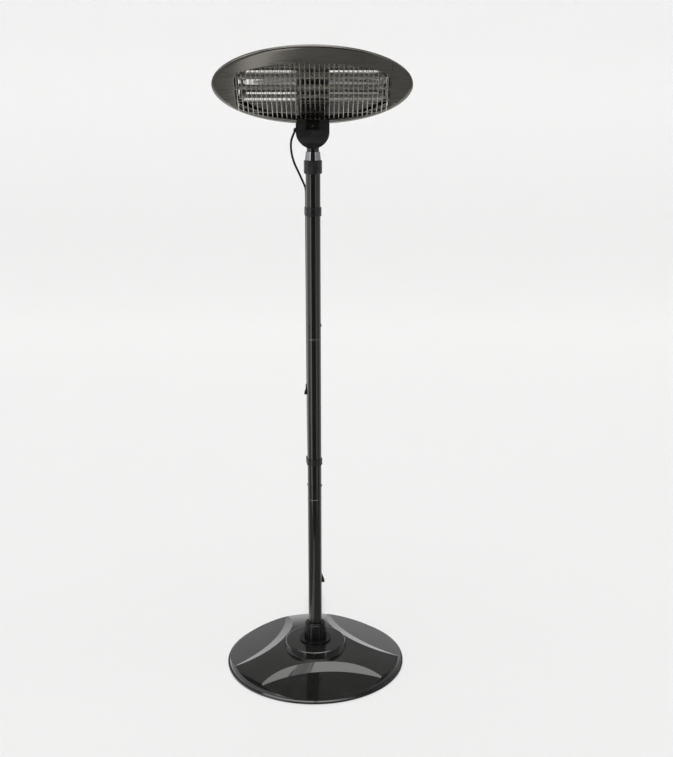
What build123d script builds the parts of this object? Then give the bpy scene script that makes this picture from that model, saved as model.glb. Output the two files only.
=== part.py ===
from build123d import *
from math import atan, cos, degrees, pi, radians, sin, sqrt, tan
import os

os.makedirs("parts", exist_ok=True)

# Free-standing infrared heater tower. Millimetres, +Z up, front towards -Y.
# The origin lies on the floor, on the pole's axis, under the middle of the base.

# Clearances
fit_gap = 0.05  # radial, between fixed or sliding partners
free_gap = 0.3  # between bodies that only pass each other
over = 1.0  # how far a cutting shape runs past what it cuts

# Base
rim_r = 250.0
rim_low = 2.0
rim_high = 6.2
bead_r = 1.2  # rounding of the rim's top edge
ledge_wide = 5.0
ledge_r = rim_r - ledge_wide
ledge_z = 8.9
shoulder_wide = 17.0
shoulder_r = rim_r - shoulder_wide
shoulder_z = 26.0
rim_bulge = 2.8  # how far the skin between ledge and shoulder bows out
slope_r = 165.0
slope_z = 38.5
hub_foot_r = 89.0
crown_z = 45.0
hub_root_z = 38.5
hub_flare = 3.5
hub_flare_r = 7.0
hub_edge_r = 3.5
hub_r = 84.0
hub_z = 63.0
hub_seat_r = 47.0
hub_seat_z = 65.0
cover_wall = 3.0
panel_near = 126.0  # radial distance of each panel's inner arc
panel_z = 33.0
panel_fall = 0.203
panel_arc_r = 350.0
facet_rise = 10.3  # degrees between the panel and the facet above it
facet_high = 20.0
panel_count = 3
panel_turn = 6.6  # degrees from the front, towards the right
plate_low = 3.0
plate_high = 5.0
plate_gap = 0.5
weight_in = 54.0
weight_r = rim_r - weight_in
weight_high = 15.0
weight_hub_r = 108.0
weight_hub_high = 28.0
weight_bore_r = 10.0
foot_count = 6
foot_in = 30.0
foot_ring_r = rim_r - foot_in
foot_pad_r = 12.0
foot_stem_r = 4.0
foot_barb_r = 5.0
foot_barb_high = 6.5
plate_screw_count = 3
plate_screw_ring_r = 150.0
plate_screw_head_r = 5.0
plate_screw_r = 2.5
plate_screw_top = 13.0
flange_r = 55.0
flange_high = 33.0
stub_bore_r = 12.0
stub_top = 130.0
bolt_count = 4
bolt_ring_r = 42.0
bolt_turn = 45.0
bolt_r = 4.0
bolt_head_r = 6.5
bolt_head_high = 5.5
bolt_low = 12.0
socket_flange_r = 44.0
socket_flange_top = 70.0
socket_low_r = 32.0
socket_top_r = 30.0
socket_top = 116.0
socket_rib_count = 24
socket_groove_r = 2.4
socket_edge = 2.0
liner_r = 26.0
liner_low = 96.0
liner_top = 119.0
liner_edge = 2.0

# Pole
pole_r = 19.0
pole_wall = 1.2
seam_low = 490.0
seam_high = 942.0
pole_top = 1375.0
neck_length = 46.0
shoulder_thick = 1.2
lower_screw_z = 529.5
lower_screw_turns = (-105.0, -15.0, 75.0, 165.0)
upper_screw_z = 979.0
upper_screw_turns = (-160.0, -40.0, 80.0)
joint_screw_head_r = 3.4
joint_screw_head_high = 1.8
joint_screw_r = 1.5
joint_screw_in = 4.0

# Telescoping mast and its lock
mast_r = 16.0
mast_wall = 1.2
mast_low = 992.0
bush_low = 990.0
bush_top = 1024.0
bush_drain_r = 10.0
collet_low = 1345.0
collet_head_r = 20.5
collet_top = 1404.0
collet_slot = 2.0
collet_slot_low = 1382.0
lock_low = 1376.0
lock_top = 1410.0
lock_r = 23.5
lock_sides = 12
lock_roof = 1405.0
lock_edge = 1.5
lock_cap_r = 20.5
lock_cap_top_r = 18.4
lock_cap_top = 1431.0

# Tilt knuckle, measured from the pivot
pivot_z = 1482.0
knuckle_half_width = 42.5
knuckle_up = 29.0
knuckle_depth_r = 38.0
knuckle_stem_half = 24.0
slot_half = 16.5
knuckle_corner = 11.0
slot_floor = 5.0
slot_rear_floor = -20.5
barrel_r = 14.0
barrel_gap = 1.3
web_rise = 9.0  # where the lug's web meets the barrel, above and below the pivot
web_drop = 13.0
mast_top = pivot_z + slot_rear_floor
pin_r = 4.0
pin_half = 36.0
pin_seat = 30.0
pin_head_r = 7.5
pin_pocket_r = 8.2
half_screw_r = 2.0
half_screw_head_r = 3.8
half_screw_front = 12.0
half_screw_seat = 20.0
half_screw_head = 3.0
half_screw_low = (27.0, -19.0)
half_screw_high = (30.0, 19.0)

# Head, measured on its face: x across, y up the face, z out of the face
face_y = -50.0
face_z = 1592.0
face_tilt = 45.0  # degrees that the face looks down at rest
oval_a = 250.0
oval_b = 132.0
bezel_sheet = 2.0
bezel_deep = 6.0
bezel_edge = 2.5
bezel_roll = 4.1  # depth at which the rim rolls in behind the housing
bezel_roll_in = 2.9
tube_half = 174.0
cap_past = 10.0  # how far the tubes' end caps reach past the glass
end_room = 9.0  # from the end caps to the end of the window
open_a = 236.0
open_b = 97.0
open_half = tube_half + cap_past + end_room
open_shift = -17.0
open_corner = 14.0
shell_gap = 0.3
shell_wall = 1.5
# Each section of the housing: depth, half width, half height, middle up the face.
# The top edge falls away level with the depth, so the head's oval hides it.
shell_steps = ((-3.8, 246.8, 128.6, 0.0), (-25.0, 242.0, 120.5, -9.0),
               (-55.0, 229.0, 101.5, -21.0), (-80.0, 198.0, 76.0, -22.0),
               (-92.0, 162.0, 59.0, -19.0))
vent_count = 3
vent_long = 90.0
vent_wide = 4.0
vent_pitch = 12.0
vent_first = 6.0
block_screw_x = 20.0
block_screw_head_r = 3.6
block_screw_head = 1.8
block_screw_r = 1.7
block_screw_in = 8.0
guard_sheet = 1.5
guard_out = 4.0
guard_in = 4.0
wire_r = 1.1
wire_pitch = 12.0
wire_inset = 2.0
wire_count = 2 * round((open_half - wire_inset) / wire_pitch)
guard_bulge = 14.0
guard_foot = -2.0
row_heights = (-84.0, -38.0, 2.0, 40.0, 66.0)
row_gap = 0.02
pan_wall = 1.0
pan_out = 2.0
pan_lip = 5.0
pan_front = -3.7
pan_back = -32.0
trough_r = 204.6  # inner radius of the curved reflector
shield_gap = 0.3
shield_sheet = 1.0
shield_edge = -14.0  # depth at which the heat shield's long edges end
shield_inset = 12.0
tube_r = 5.0
tube_wall = 1.0
tube_pitch = 33.0
tube_middle = -16.0
tube_deep = -16.0
coil_r = 2.6
cap_r = 7.0
cap_grip = 6.0
cap_start = tube_half - cap_grip
cap_end = tube_half + cap_past
holder_past = 2.0
holder_at = tube_half + holder_past
holder_sheet = 2.0
holder_half = 50.0
holder_front = -6.0
block_long = 60.0
block_wide = 26.0
block_high = 18.0
block_at = (0.0, -40.0, -81.3)
lead_r = 1.6
lead_points = ((30.2, -40.0, -78.0), (66.0, -38.0, -76.0), (102.0, -33.0, -68.0),
               (134.0, -26.0, -57.0), (158.0, -19.0, -43.2))
lead_arc = 60.0
lug_half = slot_half - free_gap
lug_foot_low = -19.0
lug_foot_high = -2.5
lug_foot_half = 20.0
lug_foot_sheet = 3.0
lug_screw_turn = 128.0
lug_screw_r = 3.5
lug_screw_high = 2.0
foot_screw_x = 17.6
foot_screw_s = -10.5
foot_screw_head_r = 2.0
foot_screw_head = 1.6
foot_screw_r = 1.2
foot_screw_in = 5.0

# Supply cord
cord_r = 2.8
grommet_r = 5.0
grommet_in = 9.0
floor_gap = 0.2
bend_share = 0.45  # share of a straight run that each arc beside it may take
loop_points = ((-46.4, 17.0, 1481.0), (-55.2, 16.6, 1463.6), (-57.0, 16.2, 1443.2),
               (-54.4, 16.0, 1421.4), (-48.0, 15.6, 1400.2), (-37.5, 15.0, 1378.8),
               (-28.0, 14.4, 1357.8))
run_points = ((-28.0, 14.4, 1357.8), (-18.5, 13.8, 1336.8), (-18.6, 17.0, 1311.0))
clip_run_points = ((-18.6, 17.0, 546.0), (-12.0, 22.4, 482.0), (0.6, 25.2, 420.0),
                   (10.4, 23.4, 358.0), (14.5, 20.5, 306.0), (14.5, 20.5, 214.0),
                   (11.2, 27.6, 186.0), (5.6, 38.0, 154.0), (1.6, 46.0, 124.0),
                   (0.4, 52.0, 98.0), (0.0, 68.0, 77.0), (0.0, 92.0, 69.0),
                   (0.6, 116.0, 53.0), (2.0, 150.0, 45.8), (4.2, 190.0, 40.4),
                   (6.8, 226.0, 34.6), (10.4, 252.0, 19.6))
hank_d = 2 * cord_r
hank_fold_r = 3 * hank_d
hank_run = 90.0
hank_loops = 5
hank_pitch = 6.4
hank_waist = 5.0
hank_start_y = 294.0
hank_axis_x = -3.78
hank_turn = 0.68  # degrees, so that the hank points straight away from the viewer
hank_lead = 23.5
hank_z = 4.4
hank_climb = 54.0  # how far back a fold starts to climb to the next layer
gap_step = 1.5  # spacing of the points that the cord's own gap is measured at
gap_skip = 30.0  # length along the cord that counts as its own neighbourhood
straight_limit = 1e-9
tail_level = 28.0
tail_drop = 62.0
tie_sheet = 1.0
tie_wide = 8.0
tie_gap = 0.4
plug_long = 38.0
plug_wide = 26.0
plug_high = 22.0
plug_nose = 6.0
pin_long = 18.0
pin_thick = 1.5
pin_tall = 6.3
pin_half_pitch = 6.35
earth_r = 2.4
earth_up = 6.0

ring_r = 21.4
ring_lobe_r = 4.6
upper_ring = (1268.0, 1290.0)
lower_ring = (590.0, 607.0)
clip_r = 20.8
clip_left = (787.0, 812.0)
clip_right = (237.0, 262.0)
clip_front = 3.0  # the clips start this far behind the pole's middle
clip_past = 6.0
clip_reach = 40.0
hook_root = 14.0
hook_top = 1.0
hook_out = 7.5
hook_lip = 6.0
hook_sheet = 5.0
cord_left_at = (-18.6, 17.0)
cord_right_at = (14.5, 20.5)

ON_FLOOR = (Align.CENTER, Align.CENTER, Align.MIN)


def disc(radius, low, high):
    """A solid cylinder on the Z axis between two heights."""
    return Pos(0, 0, low) * Cylinder(radius, high - low, align=ON_FLOOR)


def ring(outer, inner, low, high):
    return disc(outer, low, high) - disc(inner, low - over, high + over)


def spread(piece, count, start):
    """Copies of a piece, evenly turned about the Z axis."""
    return [Rot(0, 0, start + index * 360 / count) * piece for index in range(count)]


def group(pieces):
    """Several separate solids kept together as one sub-part."""
    return Compound([solid for piece in pieces for solid in piece.solids()])


def save(name, piece):
    export_step(piece, "parts/" + name + ".step")


# ---------------------------------------------------------------- base


def bulge_point(start, end, rise):
    """The middle of an arc that bows out and up from the line between two points."""
    across = start[0] - end[0]
    up = end[1] - start[1]
    share = rise / sqrt(across**2 + up**2)
    return ((start[0] + end[0]) / 2 + up * share, (start[1] + end[1]) / 2 + across * share)


def dome(inset):
    """The base's low round body, with its whole skin moved in by the inset."""
    edge_r = rim_r - inset
    edge_z = rim_high - inset
    bead = bead_r * sin(radians(45))
    bead_end = (edge_r - bead_r, edge_z + bead_r)
    ledge = (ledge_r - inset, ledge_z - inset)
    shoulder = (shoulder_r - inset / 2, shoulder_z - inset)
    foot = (hub_foot_r, crown_z - inset)
    outline = Polyline((0, rim_low), (edge_r, rim_low), (edge_r, edge_z))
    outline += ThreePointArc(
        (edge_r, edge_z), (edge_r - bead_r + bead, edge_z + bead), bead_end
    )
    outline += Line(bead_end, ledge)
    outline += ThreePointArc(ledge, bulge_point(ledge, shoulder, rim_bulge), shoulder)
    outline += ThreePointArc(shoulder, (slope_r, slope_z - inset), foot)
    outline += Polyline(foot, (0, crown_z - inset), (0, rim_low))
    return revolve(make_face(Plane.XZ * outline), Axis.Z)


def scoops(sink):
    """The three flat panels and the facets above them, as cutting cones."""
    centre = panel_near + panel_arc_r
    centre_z = panel_z - panel_fall * panel_arc_r
    top_r = panel_arc_r + facet_high / tan(radians(facet_rise))
    cone = Cone(panel_arc_r, top_r, facet_high, align=ON_FLOOR)
    tilt = degrees(atan(panel_fall))
    placed = Pos(0, -centre, centre_z) * Rot(tilt, 0, 0) * Pos(0, 0, -sink) * cone
    return spread(placed, panel_count, panel_turn)


def hub(inset):
    """The round hub: a flared foot, a leaning wall and a rounded top edge."""
    low = hub_root_z
    bend = (hub_foot_r - inset, low + hub_flare)
    corner = (hub_r - inset, hub_z - inset)
    seat_z = hub_seat_z - inset
    outline = Polyline(
        (0, low),
        (hub_foot_r - inset + hub_flare, low),
        bend,
        corner,
        (hub_seat_r, seat_z),
        (0, seat_z),
        close=True,
    )
    profile = make_face(outline)
    profile = fillet(profile.vertices().sort_by_distance((*bend, 0))[0], hub_flare_r)
    profile = fillet(profile.vertices().sort_by_distance((*corner, 0))[0], hub_edge_r)
    return revolve(Plane.XZ * profile, Axis.Z)


def make_base_cover():
    outside = dome(0) - scoops(0) + hub(0)
    inside = dome(cover_wall) - scoops(cover_wall) + hub(cover_wall)
    return outside - inside - disc(pole_r + fit_gap, hub_root_z, hub_seat_z + over)


def plate_screw(gap):
    head = Pos(0, 0, plate_low) * Cone(
        plate_screw_head_r + gap,
        plate_screw_r + gap,
        plate_high - plate_low,
        align=ON_FLOOR,
    )
    shank = disc(plate_screw_r + gap, plate_high, plate_screw_top + gap)
    return Pos(0, -plate_screw_ring_r, 0) * (head + shank)


def foot():
    pad = disc(foot_pad_r, 0, plate_low)
    stem = disc(foot_stem_r, plate_low, foot_barb_high)
    barb = disc(foot_barb_r, plate_high + fit_gap, foot_barb_high)
    return Pos(0, -foot_ring_r, 0) * (pad + stem + barb)


def base_bolt(gap):
    shank = disc(bolt_r + gap, bolt_low - gap, flange_high)
    head = extrude(RegularPolygon(bolt_head_r, 6), bolt_head_high)
    return Pos(0, -bolt_ring_r, 0) * (shank + Pos(0, 0, flange_high) * head)


def make_base():
    save("base_cover", make_base_cover())
    screws = spread(plate_screw(0), plate_screw_count, 0)
    screw_holes = spread(plate_screw(fit_gap), plate_screw_count, 0)
    save("plate_screws", group(screws))
    bolts = spread(base_bolt(0), bolt_count, bolt_turn)
    bolt_holes = spread(base_bolt(fit_gap), bolt_count, bolt_turn)
    save("base_bolts", group(bolts))
    stem_hole = Pos(0, -foot_ring_r, 0) * disc(foot_stem_r + fit_gap, 0, plate_high + over)
    plate = disc(shoulder_r - plate_gap, plate_low, plate_high)
    save("base_plate", plate - screw_holes - spread(stem_hole, foot_count, 0))
    save("rubber_feet", group(spread(foot(), foot_count, 0)))
    weight = disc(weight_r, plate_high, weight_high)
    weight += disc(weight_hub_r, weight_high, weight_hub_high)
    weight -= disc(weight_bore_r, plate_high, weight_hub_high)
    save("base_weight", weight - screw_holes - bolt_holes)
    stub_r = pole_r - pole_wall - fit_gap
    pole_foot = disc(flange_r, weight_hub_high, flange_high)
    pole_foot += disc(stub_r, flange_high, stub_top)
    pole_foot -= disc(stub_bore_r, weight_hub_high, stub_top)
    save("pole_foot", pole_foot - bolt_holes)


def make_socket():
    """The ribbed collar on the hub, and the pale liner that grips the pole."""
    flange = disc(socket_flange_r, hub_seat_z, socket_flange_top)
    body = Pos(0, 0, socket_flange_top) * Cone(
        socket_low_r, socket_top_r, socket_top - socket_flange_top, align=ON_FLOOR
    )
    body = fillet(body.edges().sort_by(Axis.Z)[-1], socket_edge)
    groove_top = socket_top - 2 * socket_edge
    groove = Pos(0, -socket_low_r, 0) * disc(
        socket_groove_r, socket_flange_top + over, groove_top
    )
    body -= spread(groove, socket_rib_count, 0)
    hole = disc(pole_r + fit_gap, hub_seat_z, socket_top)
    seat = disc(liner_r + fit_gap, liner_low, socket_top)
    save("socket_collar", flange + body - hole - seat)
    liner = disc(liner_r, liner_low, liner_top)
    liner = fillet(liner.edges().sort_by(Axis.Z)[-1], liner_edge)
    save("socket_liner", liner - disc(pole_r + fit_gap, liner_low, liner_top))


# ---------------------------------------------------------------- pole


def joint_screw(gap, seat):
    """One round-head screw on the front of the pole, pointing at its axis."""
    shank = disc(joint_screw_r + gap, pole_r - joint_screw_in, seat + gap)
    if gap:
        return Rot(90, 0, 0) * shank
    head = disc(joint_screw_head_r, seat, seat + joint_screw_head_high)
    head = fillet(head.edges().sort_by(Axis.Z)[-1], joint_screw_head_high / 2)
    return Rot(90, 0, 0) * (shank + head)


def joint_screws(height, turns, gap):
    screw = joint_screw(gap, pole_r)
    return [Pos(0, 0, height) * Rot(0, 0, turn) * screw for turn in turns]


def clip_screw(span, gap):
    """The screw behind the pole that holds one cord clip."""
    return Pos(0, 0, sum(span) / 2) * Rot(0, 0, 180) * joint_screw(gap, clip_r)


def pole_tube(low, seam):
    """A tube whose top end is swaged down to plug into the next one."""
    inner = pole_r - pole_wall
    neck = inner - fit_gap
    body = ring(pole_r, inner, low, seam - shoulder_thick)
    body += ring(pole_r, neck - pole_wall, seam - shoulder_thick, seam)
    return body + ring(neck, neck - pole_wall, seam, seam + neck_length)


def make_pole():
    low_holes = joint_screws(lower_screw_z, lower_screw_turns, fit_gap)
    high_holes = joint_screws(upper_screw_z, upper_screw_turns, fit_gap)
    lower = pole_tube(flange_high, seam_low) - low_holes
    save("lower_pole", lower - clip_screw(clip_right, fit_gap))
    middle = pole_tube(seam_low, seam_high) - low_holes - high_holes
    save("middle_pole", middle - clip_screw(clip_left, fit_gap))
    upper = ring(pole_r, pole_r - pole_wall, seam_high, pole_top)
    save("upper_pole", upper - high_holes)
    save("lower_joint_screws", group(joint_screws(lower_screw_z, lower_screw_turns, 0)))
    save("upper_joint_screws", group(joint_screws(upper_screw_z, upper_screw_turns, 0)))


def cord_eye(cord_at, span):
    """The lobe behind the pole that the cord runs through, before its bore."""
    return Pos(*cord_at, 0) * disc(ring_lobe_r, *span)


def bored(body, cord_at, span):
    body -= disc(pole_r + fit_gap, *span)
    return body - Pos(*cord_at, 0) * disc(cord_r + fit_gap, *span)


def cord_ring(cord_at, span):
    return bored(disc(ring_r, *span) + cord_eye(cord_at, span), cord_at, span)


def cord_clip(cord_at, span, side):
    """A saddle on the pole's back, with an eye for the cord and a flared hook."""
    low, high = span
    keep = Box(clip_reach + clip_past, clip_reach, high - low)
    keep_x = side * (clip_reach - clip_past) / 2
    saddle = disc(clip_r, low, high)
    saddle &= Pos(keep_x, clip_front + clip_reach / 2, (low + high) / 2) * keep
    outline = Polyline(
        (side * hook_root, low),
        (side * (pole_r + hook_out), low),
        (side * (pole_r + hook_out), low + hook_lip),
        (side * (pole_r + hook_top), high),
        (side * hook_root, high),
        close=True,
    )
    hook = extrude(Plane.XZ * make_face(outline), hook_sheet / 2, both=True)
    saddle += Pos(0, clip_front + hook_sheet / 2, 0) * hook
    body = bored(saddle + cord_eye(cord_at, span), cord_at, span)
    return body - clip_screw(span, fit_gap)


def make_cord_holders():
    save("cord_ring_upper", cord_ring(cord_left_at, upper_ring))
    save("cord_ring_lower", cord_ring(cord_left_at, lower_ring))
    save("cord_clip_left", cord_clip(cord_left_at, clip_left, -1))
    save("cord_clip_right", cord_clip(cord_right_at, clip_right, 1))
    save("clip_screws", group([clip_screw(span, 0) for span in (clip_left, clip_right)]))


# ---------------------------------------------------------------- mast


def make_lock():
    """The slotted bush in the pole's top and the faceted ring that grips it."""
    bore = mast_r + fit_gap
    collet = ring(pole_r - pole_wall - fit_gap, bore, collet_low, pole_top)
    collet += ring(collet_head_r, bore, pole_top, collet_top)
    slot_height = collet_top - collet_slot_low
    slot = Box(3 * collet_head_r, collet_slot, slot_height, align=ON_FLOOR)
    for turn in (0, 90):
        collet -= Pos(0, 0, collet_slot_low) * Rot(0, 0, turn) * slot
    save("collet", collet)
    collar = Pos(0, 0, lock_low) * extrude(
        RegularPolygon(lock_r, lock_sides), lock_top - lock_low
    )
    ends = collar.edges().filter_by_position(Axis.Z, lock_low, lock_low)
    ends += collar.edges().filter_by_position(Axis.Z, lock_top, lock_top)
    collar = chamfer(ends, lock_edge)
    collar -= disc(collet_head_r + free_gap, lock_low, lock_roof)
    bore = disc(mast_r + free_gap, lock_roof, lock_cap_top)
    save("lock_collar", collar - bore)
    cap = Cone(lock_cap_r, lock_cap_top_r, lock_cap_top - lock_top, align=ON_FLOOR)
    save("lock_cap", Pos(0, 0, lock_top) * cap - bore)


def make_mast():
    save("inner_pole", ring(mast_r, mast_r - mast_wall, mast_low, mast_top))
    bush = disc(pole_r - pole_wall - fit_gap, bush_low, bush_top)
    bush -= disc(mast_r + fit_gap, mast_low, bush_top)
    save("glide_bush", bush - disc(bush_drain_r, bush_low, mast_low))


def half_screws(gap):
    """Screws that close the knuckle's halves, put in from behind."""
    shank = disc(half_screw_r + gap, -half_screw_seat, half_screw_front + gap)
    head = disc(half_screw_head_r + gap, -half_screw_seat - half_screw_head,
                -half_screw_seat)
    if gap:
        head = disc(half_screw_head_r + gap, -2 * knuckle_depth_r, -half_screw_seat)
    screw = Rot(90, 0, 0) * (shank + head)
    placed = []
    for across, up in (half_screw_low, half_screw_high):
        for side in (-1, 1):
            placed.append(Pos(side * across, 0, pivot_z + up) * screw)
    return placed


def grommet(gap):
    """A short bush pointing down and out, along the cord's first run."""
    start = Vector(*loop_points[0])
    line = (Vector(*loop_points[1]) - start).normalized()
    body = disc(grommet_r + gap, -grommet_in - gap, 0)
    return Plane(origin=start, z_dir=line).location * body


def knuckle_body():
    long = 4 * knuckle_half_width
    round_side = Rot(90, 0, 0) * Cylinder(knuckle_half_width, long)
    straight = Pos(0, 0, knuckle_up / 2) * Box(2 * knuckle_half_width, long, knuckle_up)
    straight = fillet(
        straight.edges().filter_by(Axis.Y).group_by(Axis.Z)[-1], knuckle_corner
    )
    side = round_side + straight
    side -= Pos(0, 0, knuckle_up) * Box(long, 2 * long, long, align=ON_FLOOR)
    depth = Rot(0, 90, 0) * Cylinder(knuckle_depth_r, long)
    stem = Pos(0, 0, -knuckle_half_width / 2) * Box(
        long, 2 * knuckle_stem_half, knuckle_half_width
    )
    body = side & (depth + stem)
    body -= Pos(0, 0, slot_floor) * Box(2 * slot_half, long, long, align=ON_FLOOR)
    body -= Pos(0, long / 4, slot_rear_floor) * Box(
        2 * slot_half, long / 2, long, align=ON_FLOOR
    )
    body -= Rot(0, 90, 0) * Cylinder(barrel_r + barrel_gap, 2 * slot_half)
    body -= Rot(0, 90, 0) * Cylinder(pin_r + fit_gap, long)
    for side_sign in (-1, 1):
        middle = side_sign * (pin_seat + knuckle_half_width) / 2
        pocket = Cylinder(pin_pocket_r, knuckle_half_width - pin_seat + fit_gap)
        body -= Pos(middle, 0, 0) * Rot(0, 90, 0) * pocket
    body -= disc(mast_r + fit_gap, -knuckle_half_width, slot_rear_floor)
    return Pos(0, 0, pivot_z) * body


def make_knuckle():
    body = knuckle_body() - grommet(fit_gap) - half_screws(fit_gap)
    size = 4 * knuckle_half_width
    front = Pos(0, -size / 2, pivot_z) * Box(size, size, size)
    save("knuckle_front", body & front)
    save("knuckle_rear", body - front)
    save("knuckle_screws", group(half_screws(0)))
    pin_span = pin_half + pin_seat
    pin = Pos(-(pin_half - pin_seat) / 2, 0, 0) * Rot(0, 90, 0) * Cylinder(pin_r, pin_span)
    cap_long = pin_half - pin_seat
    cap = Pos((pin_half + pin_seat) / 2, 0, 0) * Rot(0, 90, 0) * Cylinder(
        pin_head_r, cap_long
    )
    save("pivot_bolt", Pos(0, 0, pivot_z) * (pin + cap))
    nut = extrude(RegularPolygon(pin_head_r, 6), cap_long)
    nut -= disc(pin_r + fit_gap, 0, cap_long)
    save("pivot_nut", Pos(-pin_half, 0, pivot_z) * Rot(0, 90, 0) * nut)
    save("cord_grommet", grommet(0))


# ---------------------------------------------------------------- head

face_out = (0, -cos(radians(face_tilt)), -sin(radians(face_tilt)))
FACE = Plane(origin=(0, face_y, face_z), x_dir=(1, 0, 0), z_dir=face_out).location


def oval(inset):
    return Ellipse(oval_a - inset, oval_b - inset)


def section(step, inset, lift):
    deep, half_wide, half_high, middle = step
    outline = Ellipse(half_wide - inset, half_high - inset)
    return Pos(0, middle, deep + lift) * outline


def opening(grow):
    """The outline of the window in the bezel, made larger all round."""
    shape = Ellipse(open_a + grow, open_b + grow)
    shape &= Rectangle(2 * (open_half + grow), 4 * open_b)
    shape = fillet(shape.vertices(), open_corner + grow)
    return Pos(0, open_shift, 0) * shape


def slab(sketch, low, high):
    return Pos(0, 0, low) * extrude(sketch, high - low)


def block_screws(gap):
    """Screws through the housing's flat back into the terminal block."""
    back = shell_steps[-1][0]
    placed = []
    for side in (-1, 1):
        shank = disc(block_screw_r + gap, back - gap, back + block_screw_in)
        head = disc(block_screw_head_r, back - block_screw_head, back)
        screw = shank if gap else shank + head
        placed.append(Pos(side * block_screw_x, block_at[1], 0) * screw)
    return placed


def make_shells():
    bezel = slab(oval(0), -bezel_deep, 0)
    bezel = fillet(bezel.edges().sort_by(Axis.Z)[-1], bezel_edge)
    bezel -= slab(oval(bezel_sheet), -bezel_roll, -bezel_sheet)
    bezel -= slab(oval(bezel_roll_in), -bezel_deep, -bezel_roll)
    bezel -= slab(opening(0), -bezel_deep, over)
    save("bezel", FACE * (bezel - foot_screws(fit_gap)))
    front = shell_steps[0][0]
    flange = slab(oval(bezel_sheet + shell_gap), front, -bezel_sheet - shell_gap)
    flange -= slab(section(shell_steps[0], shell_wall, 0), 0, -front)
    outer = loft([section(step, 0, 0) for step in shell_steps])
    inner_steps = [section(step, shell_wall, 0) for step in shell_steps[:-1]]
    inner_steps.append(section(shell_steps[-1], shell_wall, shell_wall))
    shell = flange + (outer - loft(inner_steps))
    vent = Box(vent_long, vent_wide, 4 * shell_wall)
    for index in range(vent_count):
        up = vent_first + index * vent_pitch
        shell -= Pos(0, up, shell_steps[-1][0]) * vent
    save("rear_housing", FACE * (shell - block_screws(fit_gap)))
    save("housing_screws", FACE * group(block_screws(0)))


def trough(grow):
    """The reflector's curve as a lying cylinder, made larger all round."""
    middle_z = pan_back + pan_wall + trough_r
    body = Rot(0, 90, 0) * Cylinder(trough_r + grow, 4 * open_a)
    return Pos(0, open_shift, middle_z) * body


def make_reflector():
    pan = slab(opening(pan_out + pan_wall), pan_back, pan_front) & trough(pan_wall)
    pan += slab(opening(pan_lip), pan_front - pan_wall, pan_front)
    pan -= slab(opening(pan_out), pan_back, pan_front) & trough(0)
    save("reflector", FACE * pan)
    shield = trough(pan_wall + shield_gap + shield_sheet) - trough(pan_wall + shield_gap)
    shield &= slab(opening(-shield_inset), 2 * pan_back, shield_edge)
    save("heat_shield", FACE * shield)


def along_x(radius, start, end, up, deep):
    tube = Rot(0, 90, 0) * disc(radius, start, end)
    return Pos(0, up, deep) * tube


def make_tubes():
    caps = []
    coils = []
    cap_holes = []
    for index in range(3):
        up = tube_middle + (1 - index) * tube_pitch
        glass = along_x(tube_r, -tube_half, tube_half, up, tube_deep)
        glass -= along_x(tube_r - tube_wall, -tube_half, tube_half, up, tube_deep)
        save("quartz_tube_" + str(index + 1), FACE * glass)
        coils.append(along_x(coil_r, -tube_half, tube_half, up, tube_deep))
        for side in (-1, 1):
            start, end = sorted((side * cap_start, side * cap_end))
            cap = along_x(cap_r, start, end, up, tube_deep)
            seat_start, seat_end = sorted((side * cap_start, side * tube_half))
            cap -= along_x(tube_r + fit_gap, seat_start, seat_end, up, tube_deep)
            caps.append(cap)
            cap_holes.append(along_x(cap_r + fit_gap, start, end, up, tube_deep))
    save("heating_coils", FACE * group(coils))
    save("tube_end_caps", FACE * group(caps))
    holders = []
    low = pan_back + pan_wall
    for side in (-1, 1):
        plate = Box(holder_sheet, 2 * holder_half, holder_front - low, align=ON_FLOOR)
        plate = Pos(side * holder_at, tube_middle, low) * plate & trough(0)
        holders.append(plate - cap_holes)
    save("tube_holders", FACE * group(holders))


def guard_height(up):
    """Height of the bowed guard above the face, at a height up the face."""
    span = open_b - wire_inset
    radius = (span**2 + guard_bulge**2) / (2 * guard_bulge)
    return guard_bulge - radius + sqrt(radius**2 - (up - open_shift) ** 2)


def upright_wire(across):
    half = open_b * sqrt(1 - (across / open_a) ** 2) - wire_inset
    top = guard_height(open_shift + half)
    ends = [(across, open_shift + side * half, top) for side in (-1, 1)]
    bow = ThreePointArc(ends[0], (across, open_shift, guard_bulge), ends[1])
    start = Plane(origin=bow @ 0, z_dir=bow % 0)
    wire = sweep(start * Circle(wire_r), path=bow)
    for x, y, z in ends:
        wire += Pos(x, y, 0) * disc(wire_r, guard_foot, z)
        wire += Pos(x, y, z) * Sphere(wire_r)
    return wire


def cross_wire(up):
    reach = open_half - wire_inset
    oval_reach = open_a * sqrt(1 - ((up - open_shift) / open_b) ** 2) - 4 * wire_inset
    reach = min(reach, oval_reach)
    level = guard_height(up) - 2 * wire_r - row_gap
    wire = along_x(wire_r, -reach, reach, up, level)
    for side in (-1, 1):
        wire += Pos(side * reach, up, 0) * disc(wire_r, guard_foot, level)
        wire += Pos(side * reach, up, level) * Sphere(wire_r)
    return wire


def make_guard():
    rim = slab(opening(guard_out), guard_foot - guard_sheet, guard_foot)
    rim -= slab(opening(-guard_in), guard_foot - guard_sheet, guard_foot)
    save("guard_rim", FACE * rim)
    first = -wire_pitch * (wire_count - 1) / 2
    wires = [upright_wire(first + index * wire_pitch) for index in range(wire_count)]
    wires += [cross_wire(up) for up in row_heights]
    save("wire_guard", FACE * group(wires))


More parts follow.
